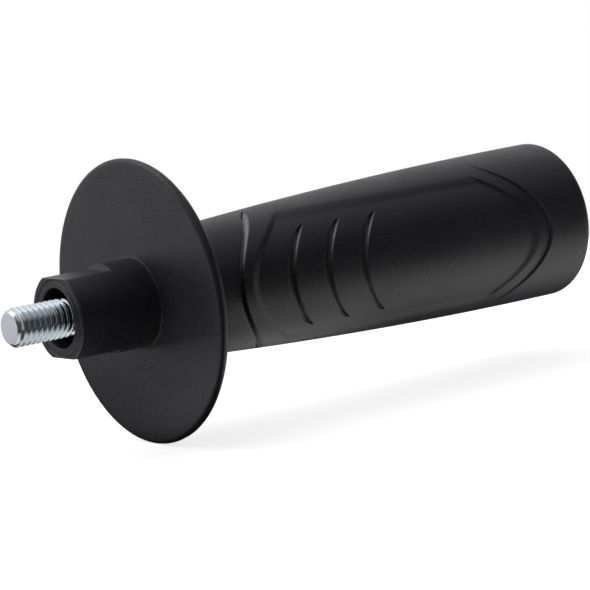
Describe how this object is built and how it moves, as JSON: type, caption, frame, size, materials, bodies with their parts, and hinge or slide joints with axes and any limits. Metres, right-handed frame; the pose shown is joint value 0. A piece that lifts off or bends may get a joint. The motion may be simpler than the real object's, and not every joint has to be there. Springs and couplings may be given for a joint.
{
  "type": "power tool side handle",
  "caption": "Side handle with a threaded stud, a collar with spanner flats, a round hand guard and a contoured grip, screwed into a power tool to steady it.",
  "frame": {"origin": "on the handle's axis, in the front face of the collar, where the stud comes out", "axes": "+X runs along the axis from the collar to the end of the grip, so the stud points to -X; the mould halves part at the XZ plane and the spanner flats face +Z and -Z"},
  "size_m": [0.1392, 0.0584, 0.0584],
  "materials": {
    "black_nylon": "satin moulded glass-filled nylon with fine grain",
    "cap_nylon": "satin moulded nylon",
    "zinc_plate": "bright zinc-plated steel"
  },
  "bodies": {
    "root": {"handle_body": "black_nylon", "threaded_stud": "zinc_plate", "end_cap": "cap_nylon"}
  },
  "joints": []
}
